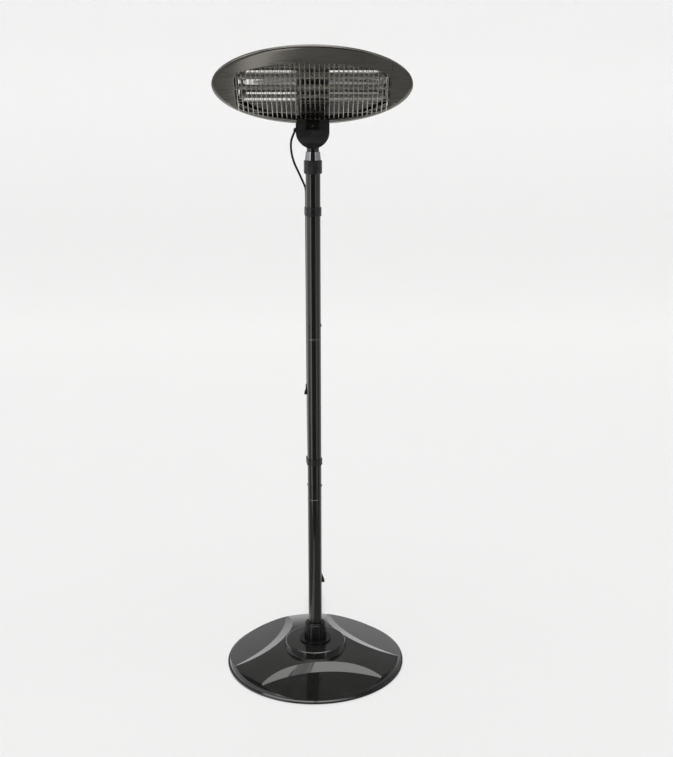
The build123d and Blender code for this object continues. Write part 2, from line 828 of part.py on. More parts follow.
def make_wiring():
    x, y, z = block_at
    block = Pos(x, y, z) * Box(block_long, block_wide, block_high)
    save("terminal_block", FACE * (block - block_screws(fit_gap)))
    radii = [lead_arc] * (len(lead_points) - 2)
    leads = []
    for side in (-1, 1):
        points = [(side * px, py, pz) for px, py, pz in lead_points]
        path = FilletPolyline(*points, radius=radii)
        start = Plane(origin=path @ 0, z_dir=path % 0)
        leads.append(sweep(start * Circle(lead_r), path=path))
    save("lead_wires", FACE * group(leads))


# The lug is drawn in the upright plane through the pivot, which lies in front of
# the face: first how far up the face from the pivot, then how far behind it.
tilt = radians(face_tilt)
pivot_out = face_y * cos(tilt) + (face_z - pivot_z) * sin(tilt)
pivot_up = face_y * sin(tilt) - (face_z - pivot_z) * cos(tilt)


def foot_screws(gap):
    placed = []
    for side in (-1, 1):
        head = disc(foot_screw_head_r + gap, lug_foot_sheet - foot_screw_head - gap,
                    lug_foot_sheet + gap)
        shank = disc(foot_screw_r + gap, -foot_screw_in, lug_foot_sheet - foot_screw_head)
        placed.append(
            Pos(side * foot_screw_x, pivot_up + foot_screw_s, 0) * (head + shank)
        )
    return placed


def lug_screw():
    line = (0, cos(radians(lug_screw_turn)), sin(radians(lug_screw_turn)))
    head = disc(lug_screw_r, barrel_r, barrel_r + lug_screw_high)
    head = fillet(head.edges().sort_by(Axis.Z)[-1], lug_screw_high / 2)
    return Plane(origin=(0, 0, pivot_z), z_dir=line).location * head


def make_lug():
    barrel = Pos(0, pivot_up, pivot_out) * Rot(0, 90, 0) * Cylinder(barrel_r, 2 * lug_half)
    outline = Polyline(
        (pivot_up + web_rise, pivot_out),
        (pivot_up + lug_foot_high, 0),
        (pivot_up + lug_foot_low, 0),
        (pivot_up - web_drop, pivot_out),
        close=True,
    )
    web = extrude(Plane.YZ * make_face(outline), lug_half, both=True)
    foot_middle = pivot_up + (lug_foot_low + lug_foot_high) / 2
    pad = Pos(0, foot_middle, 0) * Box(
        2 * lug_foot_half, lug_foot_high - lug_foot_low, lug_foot_sheet, align=ON_FLOOR
    )
    lug = barrel + web + pad
    lug -= Pos(0, pivot_up, pivot_out) * Rot(0, 90, 0) * Cylinder(
        pin_r + fit_gap, 4 * lug_half
    )
    save("tilt_lug", FACE * (lug - foot_screws(fit_gap)))
    save("foot_screws", FACE * group(foot_screws(0)))
    save("lug_screw", lug_screw())


# ---------------------------------------------------------------- cord


def cord_path(points):
    """Straight runs joined by arcs as large as the shorter run beside each."""
    corners = [Vector(*point) for point in points]
    radii = []
    for before, corner, after in zip(corners, corners[1:], corners[2:]):
        run_in = corner - before
        run_out = after - corner
        turn = run_in.get_angle(run_out)
        shorter = min(run_in.length, run_out.length)
        radii.append(bend_share * shorter / tan(radians(turn / 2)))
    print("arc radii", [round(radius, 1) for radius in radii])
    print("runs", [round((b - a).length, 1) for a, b in zip(corners, corners[1:])])
    return FilletPolyline(*points, radius=radii)


def cord_tube(name, path):
    start = Plane(origin=path @ 0, z_dir=path % 0)
    tube = sweep(start * Circle(cord_r), path=path)
    ideal = path.length * pi * cord_r**2
    print(name, "length", round(path.length, 1), "volume ratio", tube.volume / ideal)
    save(name, tube)


def biarc(start, leave, end, arrive):
    """Two tangent arcs from one point and direction to another."""
    reach = end - start
    both = leave + arrive
    bend = 2 * (1 - leave.dot(arrive))
    along = reach.dot(both)
    if bend < straight_limit:
        step = reach.dot(reach) / (2 * along)
    else:
        step = (sqrt(along**2 + bend * reach.dot(reach)) - along) / bend
    middle = (start + end + (leave - arrive) * step) / 2
    turn_in = (middle - start - leave * step).normalized()
    first = arc_or_line(start, middle, leave)
    second = arc_or_line(middle, end, turn_in)
    return [first, second]


def arc_or_line(start, end, leave):
    if (end - start).normalized().dot(leave) > 1 - straight_limit:
        return Line(start, end)
    return TangentArc(start, end, tangent=leave)


def hank_stations():
    """Points and directions round the folded loops, from the floor upwards."""
    x = hank_fold_r
    waist_x = hank_fold_r - hank_waist
    middle = hank_run / 2
    ahead = Vector(0, 1, 0)
    back = Vector(0, -1, 0)
    stations = [(Vector(x, 0, 0), ahead), (Vector(x, hank_d, 0), ahead)]
    for loop in range(hank_loops):
        z = loop * hank_pitch
        up = z + hank_pitch / 2
        climb = Vector(0, -hank_climb, hank_pitch).normalized()
        stations.append((Vector(waist_x, middle, z), ahead))
        stations.append((Vector(x, hank_run, z), ahead))
        if loop == hank_loops - 1:
            break
        stations.append((Vector(0, hank_run + hank_fold_r, z), Vector(-1, 0, 0)))
        stations.append((Vector(-x, hank_run, z), back))
        stations.append((Vector(-waist_x, middle, up), climb))
        stations.append((Vector(-x, 0, z + hank_pitch), back))
        stations.append((Vector(0, -hank_fold_r, z + hank_pitch), Vector(1, 0, 0)))
        stations.append((Vector(x, 0, z + hank_pitch), ahead))
    return stations


def hank_path():
    """The folded loops, then a tail that comes down to the plug."""
    top = (hank_loops - 1) * hank_pitch
    plug_axis = plug_high / 2 + floor_gap - hank_z
    fall = Vector(-hank_fold_r, tail_drop, plug_axis - top)
    ahead = Vector(0, 1, 0)
    stations = hank_stations()
    last = stations[-1][0] + ahead * tail_level
    stations.append((last, ahead))
    lean = (fall + Vector(fall.X, 0, fall.Z)).normalized()
    stations.append((last + fall / 2, lean))
    stations.append((last + fall, ahead))
    stations.append((last + fall + ahead * hank_d, ahead))
    pieces = []
    for (start, leave), (end, arrive) in zip(stations, stations[1:]):
        if (end - start).normalized().dot(leave) > 1 - straight_limit:
            pieces.append(Line(start, end))
        else:
            pieces += biarc(start, leave, end, arrive)
    return Wire([piece.edge() for piece in pieces])


def own_gap(path):
    """Least distance between parts of one path that are not neighbours."""
    count = int(path.length / gap_step)
    points = [path @ (index / count) for index in range(count + 1)]
    apart = int(gap_skip / gap_step)
    least = path.length
    for index, point in enumerate(points):
        for other in points[index + apart:]:
            least = min(least, (other - point).length)
    return least


def make_cord():
    loop = cord_path(loop_points)
    cord_tube("cord_loop", loop)
    lie = Pos(hank_axis_x, hank_start_y, hank_z) * Rot(0, 0, hank_turn)
    lead_in = [lie * Pos(hank_fold_r, y, 0) for y in (-hank_lead, 0)]
    last_points = [tuple(place.position) for place in lead_in]
    cord_tube("cord_run", cord_path([*run_points, *clip_run_points, *last_points]))
    path = hank_path()
    print("hank gap to itself", round(own_gap(path) - 2 * cord_r, 3))
    cord_tube("cord_hank", lie * path)
    waist_half = hank_fold_r - hank_waist + cord_r + tie_gap
    height = (hank_loops - 1) * hank_pitch + 2 * cord_r + 2 * tie_gap
    middle_z = (hank_loops - 1) * hank_pitch / 2
    band = Box(2 * (waist_half + tie_sheet), tie_wide, height + 2 * tie_sheet)
    band -= Box(2 * waist_half, tie_wide, height)
    save("hank_tie", lie * Pos(0, hank_run / 2, middle_z) * band)
    end = (lie * path) @ 1
    body = Box(plug_wide, plug_long, plug_high)
    body = fillet(body.edges().filter_by(Axis.Y), plug_nose)
    spot = Pos(end.X, end.Y, end.Z) * Rot(0, 0, hank_turn)
    plug = spot * Pos(0, plug_long / 2, 0) * body
    blade = Box(pin_thick, pin_long, pin_tall)
    pins = [Pos(side * pin_half_pitch, 0, -earth_up / 2) * blade for side in (-1, 1)]
    pins.append(Pos(0, 0, earth_up) * Rot(90, 0, 0) * Cylinder(earth_r, pin_long))
    pins_at = spot * Pos(0, plug_long + pin_long / 2, 0)
    save("plug", plug)
    save("plug_pins", group([pins_at * pin for pin in pins]))


make_base()
make_socket()
make_pole()
make_cord_holders()
make_lock()
make_mast()
make_knuckle()
make_shells()
make_reflector()
make_tubes()
make_guard()
make_wiring()
make_lug()
make_cord()
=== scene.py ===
import math

import bpy
from mathutils import Matrix, Vector


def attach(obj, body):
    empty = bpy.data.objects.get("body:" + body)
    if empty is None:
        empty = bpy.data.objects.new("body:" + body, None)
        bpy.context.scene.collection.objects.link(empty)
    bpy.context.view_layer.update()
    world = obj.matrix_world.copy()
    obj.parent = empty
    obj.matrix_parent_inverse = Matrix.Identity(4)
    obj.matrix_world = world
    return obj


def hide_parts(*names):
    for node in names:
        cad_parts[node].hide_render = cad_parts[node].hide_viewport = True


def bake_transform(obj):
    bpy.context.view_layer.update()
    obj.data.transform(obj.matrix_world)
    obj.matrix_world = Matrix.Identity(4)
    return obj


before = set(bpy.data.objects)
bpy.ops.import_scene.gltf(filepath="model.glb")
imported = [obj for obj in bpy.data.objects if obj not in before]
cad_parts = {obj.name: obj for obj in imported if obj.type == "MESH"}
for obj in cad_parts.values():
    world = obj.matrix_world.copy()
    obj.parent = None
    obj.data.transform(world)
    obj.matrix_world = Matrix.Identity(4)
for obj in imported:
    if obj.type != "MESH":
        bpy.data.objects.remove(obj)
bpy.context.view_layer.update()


# ------------------------------------------------------------------ camera

IMAGE_WIDTH = 673
FOCAL_PX = 1116.0
CAMERA_AT = (0.0345, -2.906, 1.586)
CAMERA_DOWN = 14.54
CAMERA_TURN = -0.51

camera_data = bpy.data.cameras.new("camera")
camera_data.sensor_fit = "HORIZONTAL"
camera_data.sensor_width = 36.0
camera_data.lens = 36.0 * FOCAL_PX / IMAGE_WIDTH
camera = bpy.data.objects.new("camera", camera_data)
camera.location = CAMERA_AT
camera.rotation_euler = (math.radians(90.0 - CAMERA_DOWN), 0.0, math.radians(CAMERA_TURN))
bpy.context.collection.objects.link(camera)
bpy.context.scene.camera = camera

# --------------------------------------------------------------- materials


def link(tree, source, target):
    tree.links.new(source, target)


def material(name, colour, rough, metal=0.0, grain=40.0, stretch=(1, 1, 1), vary=0.25,
             rough_vary=0.3, coat=0.0, bump=0.0, specular=0.5, bump_grain=400.0):
    """A principled surface whose colour and roughness wander with a noise."""
    made = bpy.data.materials.new(name)
    made.use_nodes = True
    tree = made.node_tree
    shader = tree.nodes["Principled BSDF"]
    place = tree.nodes.new("ShaderNodeTexCoord")
    scale = tree.nodes.new("ShaderNodeMapping")
    scale.inputs["Scale"].default_value = stretch
    noise = tree.nodes.new("ShaderNodeTexNoise")
    noise.inputs["Scale"].default_value = grain
    noise.inputs["Detail"].default_value = 4.0
    link(tree, place.outputs["Object"], scale.inputs["Vector"])
    link(tree, scale.outputs["Vector"], noise.inputs["Vector"])
    ramp = tree.nodes.new("ShaderNodeValToRGB")
    dark = [channel * (1 - vary) for channel in colour]
    light = [min(1.0, channel * (1 + vary)) for channel in colour]
    ramp.color_ramp.elements[0].position = 0.3
    ramp.color_ramp.elements[1].position = 0.7
    ramp.color_ramp.elements[0].color = (*dark, 1)
    ramp.color_ramp.elements[1].color = (*light, 1)
    link(tree, noise.outputs["Fac"], ramp.inputs["Fac"])
    link(tree, ramp.outputs["Color"], shader.inputs["Base Color"])
    spread = tree.nodes.new("ShaderNodeMapRange")
    spread.inputs["From Min"].default_value = 0.3
    spread.inputs["From Max"].default_value = 0.7
    spread.inputs["To Min"].default_value = rough * (1 - rough_vary)
    spread.inputs["To Max"].default_value = rough * (1 + rough_vary)
    link(tree, noise.outputs["Fac"], spread.inputs["Value"])
    link(tree, spread.outputs["Result"], shader.inputs["Roughness"])
    shader.inputs["Metallic"].default_value = metal
    shader.inputs["Specular IOR Level"].default_value = specular
    if coat:
        shader.inputs["Coat Weight"].default_value = coat
        shader.inputs["Coat Roughness"].default_value = 0.03
    if bump:
        fine = tree.nodes.new("ShaderNodeTexNoise")
        fine.inputs["Scale"].default_value = bump_grain
        fine.inputs["Detail"].default_value = 3.0
        raised = tree.nodes.new("ShaderNodeBump")
        raised.inputs["Strength"].default_value = bump
        raised.inputs["Distance"].default_value = 0.0004
        link(tree, place.outputs["Object"], fine.inputs["Vector"])
        link(tree, fine.outputs["Fac"], raised.inputs["Height"])
        link(tree, raised.outputs["Normal"], shader.inputs["Normal"])
    return made


LOOKS = {
    "gloss_black": material("gloss_black", (0.012, 0.012, 0.0115), 0.07, grain=25,
                            coat=0.6, specular=0.5, rough_vary=0.35),
    "pole_black": material("pole_black", (0.016, 0.0155, 0.0125), 0.12, grain=30,
                           stretch=(1, 1, 0.15), coat=0.5, rough_vary=0.3),
    # dark_chrome's colour is lighter than the bezel's own metal: painted light that makes up
    # for the painted shade on the paper it reflects
    "dark_chrome": material("dark_chrome", (0.265, 0.250, 0.228), 0.13, metal=1.0,
                            grain=60, stretch=(0.3, 3, 3), vary=0.10, rough_vary=0.25),
    "black_plastic": material("black_plastic", (0.026, 0.026, 0.030), 0.45, grain=90,
                              bump=0.25, bump_grain=900),
    "satin_black": material("satin_black", (0.02, 0.02, 0.02), 0.32, grain=70,
                            bump=0.12),
    "pale_plastic": material("pale_plastic", (0.55, 0.54, 0.50), 0.38, grain=80,
                             vary=0.06),
    "cord_rubber": material("cord_rubber", (0.011, 0.011, 0.012), 0.45, grain=120,
                            bump=0.1),
    "rubber": material("rubber", (0.02, 0.02, 0.02), 0.8, grain=120, bump=0.2),
    "cast_iron": material("cast_iron", (0.07, 0.07, 0.075), 0.75, grain=60, bump=0.5),
    "steel": material("steel", (0.55, 0.55, 0.56), 0.3, metal=1.0, grain=80, vary=0.12),
    "mirror": material("mirror", (0.94, 0.93, 0.90), 0.09, metal=1.0, grain=30,
                       stretch=(0.4, 2, 2), vary=0.06, rough_vary=0.5),
    "coil": material("coil", (0.22, 0.16, 0.12), 0.45, metal=0.8, grain=200),
    "ceramic": material("ceramic", (0.70, 0.68, 0.62), 0.55, grain=60, vary=0.08),
    "wire": material("wire", (0.62, 0.60, 0.55), 0.30, metal=1.0, grain=150, vary=0.12),
    "gloss_plastic": material("gloss_plastic", (0.011, 0.011, 0.011), 0.16, grain=80,
                              bump=0.08, bump_grain=600),
    "dark_steel": material("dark_steel", (0.10, 0.10, 0.10), 0.25, metal=1.0, grain=90),
    "sleeve": material("sleeve", (0.34, 0.34, 0.36), 0.14, metal=1.0, grain=60,
                       stretch=(1, 1, 0.2), vary=0.12),
    "brass": material("brass", (0.65, 0.48, 0.20), 0.3, metal=1.0, grain=60, vary=0.1),
}


def quartz():
    """Clouded tube glass, a little uneven along its length."""
    made = material("quartz", (0.62, 0.60, 0.55), 0.28, grain=50, stretch=(0.2, 1, 1),
                    vary=0.06)
    shader = made.node_tree.nodes["Principled BSDF"]
    shader.inputs["Transmission Weight"].default_value = 0.55
    shader.inputs["IOR"].default_value = 1.46
    return made


LOOKS["quartz"] = quartz()

NODE_LOOKS = {
    "base_cover": "gloss_black", "plate_screws": "steel", "base_bolts": "steel",
    "base_plate": "satin_black", "rubber_feet": "rubber", "base_weight": "cast_iron",
    "pole_foot": "steel", "socket_collar": "gloss_plastic",
    "socket_liner": "gloss_plastic", "lower_pole": "pole_black",
    "middle_pole": "pole_black", "upper_pole": "pole_black",
    "lower_joint_screws": "dark_steel", "upper_joint_screws": "dark_steel",
    "clip_screws": "dark_steel", "lock_cap": "sleeve",
    "cord_ring_upper": "satin_black", "cord_ring_lower": "satin_black",
    "cord_clip_left": "black_plastic", "cord_clip_right": "black_plastic",
    "collet": "black_plastic", "lock_collar": "satin_black",
    "inner_pole": "pole_black", "glide_bush": "black_plastic",
    "knuckle_front": "black_plastic", "knuckle_rear": "black_plastic",
    "knuckle_screws": "steel", "pivot_bolt": "steel", "pivot_nut": "steel",
    "cord_grommet": "cord_rubber", "bezel": "dark_chrome",
    "rear_housing": "satin_black", "housing_screws": "steel", "reflector": "mirror",
    "heat_shield": "steel", "quartz_tube_1": "quartz", "quartz_tube_2": "quartz",
    "quartz_tube_3": "quartz", "heating_coils": "coil", "tube_end_caps": "ceramic",
    "tube_holders": "satin_black", "guard_rim": "satin_black", "wire_guard": "wire",
    "terminal_block": "ceramic", "lead_wires": "cord_rubber",
    "tilt_lug": "satin_black", "foot_screws": "steel", "lug_screw": "steel",
    "cord_loop": "cord_rubber", "cord_run": "cord_rubber", "cord_hank": "cord_rubber",
    "hank_tie": "satin_black", "plug": "cord_rubber", "plug_pins": "brass",
}

for node, look in NODE_LOOKS.items():
    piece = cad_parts[node]
    piece.data.materials.clear()
    piece.data.materials.append(LOOKS[look])

# -------------------------------------------------------------- the studio


def stage_mesh(name, vertices, faces, look):
    mesh = bpy.data.meshes.new(name)
    mesh.from_pydata(vertices, [], faces)
    mesh.polygons.foreach_set("use_smooth", [True] * len(faces))
    mesh.materials.append(look)
    piece = bpy.data.objects.new(name, mesh)
    bpy.context.collection.objects.link(piece)
    return piece


# The paper's own light, how much of its look that light makes, how much brighter
# it is high on the wall to the eye, and the brightness seen past its edges
PAPER_SHINE = 0.90
PAPER_GLOW = 0.62
PAPER_SEEN = 1.15
SKY_SEEN = 0.88


class Nodes:
    """Short names for the maths of a node tree."""

    def __init__(self, tree):
        self.tree = tree

    def math(self, operation, first, second):
        node = self.tree.nodes.new("ShaderNodeMath")
        node.operation = operation
        for socket, value in zip(node.inputs, (first, second)):
            if isinstance(value, (int, float)):
                socket.default_value = value
            else:
                link(self.tree, value, socket)
        return node.outputs["Value"]

    def step(self, value, low, high, end=0.0):
        """From end below low to 1 above high, or the other way if low is above high."""
        node = self.tree.nodes.new("ShaderNodeMapRange")
        node.interpolation_type = "SMOOTHSTEP"
        node.inputs["From Min"].default_value = min(low, high)
        node.inputs["From Max"].default_value = max(low, high)
        node.inputs["To Min"].default_value = end if low < high else 1.0
        node.inputs["To Max"].default_value = 1.0 if low < high else end
        link(self.tree, value, node.inputs["Value"])
        return node.outputs["Result"]

    def axes(self, socket):
        parts = self.tree.nodes.new("ShaderNodeSeparateXYZ")
        link(self.tree, socket, parts.inputs["Vector"])
        return {name: parts.outputs[name] for name in "XYZ"}


def paper():
    """White paper: even to the eye; in reflections it holds painted shade, darker to the
    right, high on the wall and from just behind the heater forward, save a lane to its left.
    """
    look = material("paper", (0.93, 0.93, 0.93), 0.9, grain=3, vary=0.004,
                    rough_vary=0.02, specular=0.0)
    tree = look.node_tree
    nodes = Nodes(tree)
    place = tree.nodes.new("ShaderNodeTexCoord")
    at = nodes.axes(place.outputs["Object"])
    # Painted shade for reflections: darker to the right and high on the wall
    shade = nodes.step(at["X"], 1.3, -0.1, end=0.80)
    shade = nodes.math("MULTIPLY", shade, nodes.step(at["Z"], 2.6, 0.3, end=0.30))
    # Painted shade in front of the heater, with a lane to its left kept bright
    lane = nodes.math("MULTIPLY", nodes.step(at["X"], -0.04, -0.14),
                      nodes.step(at["X"], -0.40, -0.30))
    near = nodes.math("MAXIMUM", nodes.step(at["Y"], 0.02, 0.30, end=0.25), lane)
    shade = nodes.math("MULTIPLY", shade, near)
    ray = tree.nodes.new("ShaderNodeLightPath")
    seen = ray.outputs["Is Camera Ray"]
    unseen = nodes.math("SUBTRACT", 1.0, seen)
    level = nodes.math("MULTIPLY", nodes.step(at["Z"], 0.1, 1.8, end=0.79), PAPER_SEEN)
    shade = nodes.math("ADD", nodes.math("MULTIPLY", shade, unseen),
                       nodes.math("MULTIPLY", seen, level))
    glow = tree.nodes.new("ShaderNodeEmission")
    glow.inputs["Color"].default_value = (1, 1, 1, 1)
    link(tree, nodes.math("MULTIPLY", shade, PAPER_SHINE), glow.inputs["Strength"])
    polished = nodes.math("MAXIMUM", ray.outputs["Is Glossy Ray"],
                          ray.outputs["Is Transmission Ray"])
    share = nodes.math("MAXIMUM", nodes.math("MULTIPLY", seen, PAPER_GLOW), polished)
    blend = tree.nodes.new("ShaderNodeMixShader")
    link(tree, share, blend.inputs["Fac"])
    link(tree, tree.nodes["Principled BSDF"].outputs["BSDF"], blend.inputs[1])
    link(tree, glow.outputs["Emission"], blend.inputs[2])
    link(tree, blend.outputs["Shader"], tree.nodes["Material Output"].inputs["Surface"])
    return look


def sweep_backdrop():
    """A pale floor that curves up into a wall far behind the heater."""
    half, front, back, bend, top = 7.0, -0.9, 4.5, 2.0, 3.6
    line = [(front, 0.0), (back, 0.0)]
    for index in range(1, 17):
        angle = math.pi / 2 * index / 16
        line.append((back + bend * math.sin(angle), bend * (1 - math.cos(angle))))
    line.append((back + bend, top))
    vertices = [(x, y, z) for y, z in line for x in (-half, half)]
    faces = [(2 * i, 2 * i + 1, 2 * i + 3, 2 * i + 2) for i in range(len(line) - 1)]
    return stage_mesh("floor", vertices, faces, paper())


sweep_backdrop()


class Sky(Nodes):
    """Adds up soft patches of light by direction: x right, y back, z up."""

    def __init__(self):
        world = bpy.data.worlds.new("world")
        bpy.context.scene.world = world
        world.use_nodes = True
        super().__init__(world.node_tree)
        place = self.tree.nodes.new("ShaderNodeTexCoord")
        self.at = self.axes(place.outputs["Generated"])
        ahead = self.math("MULTIPLY", self.at["Y"], -1.0)
        turn = self.math("ARCTAN2", self.at["X"], ahead)
        self.at["turn"] = self.math("MULTIPLY", turn, 180 / math.pi)
        self.total = None

    def patch(self, strength, **limits):
        """Light where each axis, or "turn" right of the front, is in its band."""
        value = strength
        for axis, bands in limits.items():
            for low, high in bands:
                value = self.math("MULTIPLY", self.step(self.at[axis], low, high), value)
        self.total = value if self.total is None else self.math("ADD", self.total, value)

    def finish(self):
        ray = self.tree.nodes.new("ShaderNodeLightPath")
        seen = ray.outputs["Is Camera Ray"]
        lit = self.math("MULTIPLY", self.total, self.math("SUBTRACT", 1.0, seen))
        plain = self.math("MULTIPLY", seen, SKY_SEEN)
        ground = self.tree.nodes["Background"]
        link(self.tree, self.math("ADD", lit, plain), ground.inputs["Strength"])
        ground.inputs["Color"].default_value = (1.0, 0.995, 0.985, 1)


sky = Sky()
# A dim room in front
sky.patch(0.07, Z=[(2.0, -2.0)])
# Bright sides near the horizon, the left one brighter
sky.patch(0.80, X=[(-0.45, -0.75)], Z=[(0.45, 0.20)])
sky.patch(0.45, X=[(0.45, 0.75)], Z=[(0.45, 0.20)])
# The great soft light overhead, in front of the upright
sky.patch(4.0, Y=[(0.16, -0.06)], Z=[(0.80, 0.88)])
sky.patch(0.30, Z=[(0.90, 0.97)])
# The long softbox above and behind
sky.patch(2.4, Y=[(0.02, 0.10)], Z=[(0.82, 0.85), (0.995, 0.98)],
          X=[(-0.90, -0.70), (0.30, 0.08)])
# A faint glow behind it
sky.patch(0.24, Y=[(0.30, 0.55)], Z=[(0.30, 0.42), (0.84, 0.76)])
# Two tall strips in front
sky.patch(1.3, turn=[(-52, -47), (-33, -38)], Z=[(0.75, 0.6), (-0.50, -0.40)])
sky.patch(0.8, turn=[(33, 37), (47, 42)], Z=[(0.75, 0.6), (-0.50, -0.40)])
sky.finish()
bpy.context.scene.view_settings.view_transform = "Standard"

# ------------------------------------------------------------- free pieces


def mesh_piece(name, vertices, faces, look):
    """A smooth mesh of one look."""
    mesh = bpy.data.meshes.new(name)
    mesh.from_pydata([Vector(point) for point in vertices], [], faces)
    mesh.polygons.foreach_set("use_smooth", [True] * len(faces))
    mesh.materials.append(LOOKS[look])
    mesh.update()
    piece = bpy.data.objects.new(name, mesh)
    bpy.context.collection.objects.link(piece)
    return piece


def spline_line(name, points):
    """A smooth route: the points, in millimetres, are its control points."""
    curve = bpy.data.curves.new(name, "CURVE")
    curve.dimensions = "3D"
    spline = curve.splines.new("NURBS")
    spline.points.add(len(points) - 1)
    for control, point in zip(spline.points, points):
        control.co = (point[0] / 1000, point[1] / 1000, point[2] / 1000, 1)
    spline.order_u = 3
    spline.use_endpoint_u = True
    spline.resolution_u = 10
    piece = bpy.data.objects.new(name, curve)
    bpy.context.collection.objects.link(piece)
    return piece


def line_points(piece):
    """The points that a curve is drawn through."""
    mesh = bpy.data.meshes.new_from_object(piece)
    points = [vertex.co.copy() for vertex in mesh.vertices]
    bpy.data.meshes.remove(mesh)
    return points


def tube_mesh(name, points, radius, look, sides=14):
    """A round tube along points, its rings turned as little as possible."""
    vertices = []
    faces = []
    side = None
    for index, point in enumerate(points):
        before = points[max(index - 1, 0)]
        after = points[min(index + 1, len(points) - 1)]
        ahead = (after - before).normalized()
        if side is None:
            side = ahead.orthogonal().normalized()
        side = (side - ahead * side.dot(ahead)).normalized()
        up = ahead.cross(side)
        for step in range(sides):
            angle = 2 * math.pi * step / sides
            vertices.append(point + (side * math.cos(angle) + up * math.sin(angle)) * radius)
    for index in range(len(points) - 1):
        for step in range(sides):
            after = (step + 1) % sides
            low = index * sides
            high = low + sides
            faces.append((low + step, low + after, high + after, high + step))
    faces.append(tuple(range(sides))[::-1])
    last = (len(points) - 1) * sides
    faces.append(tuple(range(last, last + sides)))
    return mesh_piece(name, vertices, faces, look)


# -------------------------------------------------------------- the cord

CORD_R = 0.0028
LOOP_POINTS = [(-46.4, 17.0, 1481.0), (-55.2, 16.6, 1463.6), (-57.0, 16.2, 1443.2),
               (-54.4, 16.0, 1421.4), (-48.0, 15.6, 1400.2), (-37.5, 15.0, 1378.8),
               (-28.0, 14.4, 1357.8), (-18.5, 13.8, 1336.8), (-18.6, 17.0, 1311.0),
               (-18.6, 17.0, 1279.0)]
RUN_POINTS = [(-18.6, 17.0, 1279.0), (-18.6, 17.0, 546.0), (-12.0, 22.4, 482.0),
              (0.6, 25.2, 420.0), (10.4, 23.4, 358.0), (14.5, 20.5, 306.0),
              (14.5, 20.5, 214.0), (11.2, 27.6, 186.0), (5.6, 38.0, 154.0),
              (1.6, 46.0, 124.0), (0.4, 52.0, 98.0), (0.0, 68.0, 77.0),
              (0.0, 92.0, 69.0), (0.6, 116.0, 53.0), (2.0, 150.0, 45.8),
              (4.2, 190.0, 40.4), (6.8, 226.0, 34.6), (10.4, 252.0, 19.6)]
HANK_AT = (-3.78, 294.0, 4.4)
HANK_TURN = 0.68
HANK_LOOPS = 5
HANK_PITCH = 6.4
FAR_FOLD = [(17.0, 82.0), (17.6, 99.0), (9.6, 108.4), (-9.6, 108.4), (-17.6, 99.0),
            (-17.0, 82.0)]
NEAR_FOLD = [(-17.0, 8.0), (-17.6, -9.0), (-9.6, -18.4), (9.6, -18.4), (17.6, -9.0),
             (17.0, 8.0)]
TAIL = [(17.0, 82.0, 25.6), (17.2, 104.0, 25.6), (16.4, 122.0, 25.2),
        (12.6, 138.0, 20.8), (6.6, 154.0, 13.0), (1.4, 168.0, 7.6),
        (0.0, 178.0, 6.8), (0.0, 185.6, 6.8)]


def hank_points():
    """The folded loops, from the floor upwards, and the tail down to the plug."""
    points = [(16.8, -23.5, 0.0), (16.8, 0.0, 0.0)]
    for loop in range(HANK_LOOPS):
        z = loop * HANK_PITCH
        points.append((11.6, 45.0, z))
        if loop == HANK_LOOPS - 1:
            break
        points += [(x, y, z) for x, y in FAR_FOLD]
        points.append((-11.6, 45.0, z + HANK_PITCH / 2))
        points += [(x, y, z + HANK_PITCH) for x, y in NEAR_FOLD]
    points += TAIL
    turned = Matrix.Translation(HANK_AT) @ Matrix.Rotation(math.radians(HANK_TURN), 4, "Z")
    return [tuple(turned @ Vector(point)) for point in points]


def make_cords():
    """The free loop, and the run down to the plug."""
    guide = spline_line("loop_guide", LOOP_POINTS)
    path = line_points(guide)
    bpy.data.objects.remove(guide)
    loop = tube_mesh("cord_loop_soft", path, CORD_R, "cord_rubber")
    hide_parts("cord_loop")
    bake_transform(loop)
    run = spline_line("cord_run_soft", RUN_POINTS + hank_points())
    run.data.bevel_depth = CORD_R
    run.data.bevel_resolution = 4
    run.data.use_fill_caps = True
    run.data.materials.append(LOOKS["cord_rubber"])
    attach(run, "stand")
    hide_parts("cord_run", "cord_hank")


make_cords()

# ---------------------------------------------------------------- the head

FACE_AT = Vector((0.0, -0.050, 1.592))
FACE_LEAN = math.radians(45)
FACE_UP = Vector((0.0, -math.sin(FACE_LEAN), math.cos(FACE_LEAN)))
FACE_OUT = Vector((0.0, -math.cos(FACE_LEAN), -math.sin(FACE_LEAN)))


def on_face(across, up, out):
    """A place on the head's face, in millimetres, as a point of the scene."""
    return FACE_AT + (Vector((across, 0, 0)) + FACE_UP * up + FACE_OUT * out) / 1000


# The oval's half axes, and the window's: an oval cut straight at both ends,
# its corners the sharper the higher OPEN_POWER is. Millimetres on the face.
OVAL_A, OVAL_B = 250.0, 132.0
OPEN_A, OPEN_B, OPEN_HALF, OPEN_SHIFT = 236.0, 97.0, 193.0, -17.0
OPEN_POWER = 26
BOW = 3.2
ROUND_WIDE = 12.0
ROUND_LEAN = 6.5
ROUND_STEEP = 6.5
EDGE_DROP, EDGE_WIDE = 1.5, 1.6
RIM_BACK, RIM_FRONT = -5.9, -4.4


def outer_reach(angle):
    """Distance from the window's middle to the oval's edge."""
    c, n = math.cos(angle), math.sin(angle)
    a = (c / OVAL_A) ** 2 + (n / OVAL_B) ** 2
    b = n * OPEN_SHIFT / OVAL_B**2
    return (-b + math.sqrt(b * b - a * ((OPEN_SHIFT / OVAL_B) ** 2 - 1))) / a


def window_reach(angle):
    """Distance from the window's middle to its own edge."""
    c, n = abs(math.cos(angle)), math.sin(angle)
    oval = 1 / math.sqrt((c / OPEN_A) ** 2 + (n / OPEN_B) ** 2)
    side = OPEN_HALF / max(c, 1e-6)
    return (oval**-OPEN_POWER + side**-OPEN_POWER) ** (-1 / OPEN_POWER)


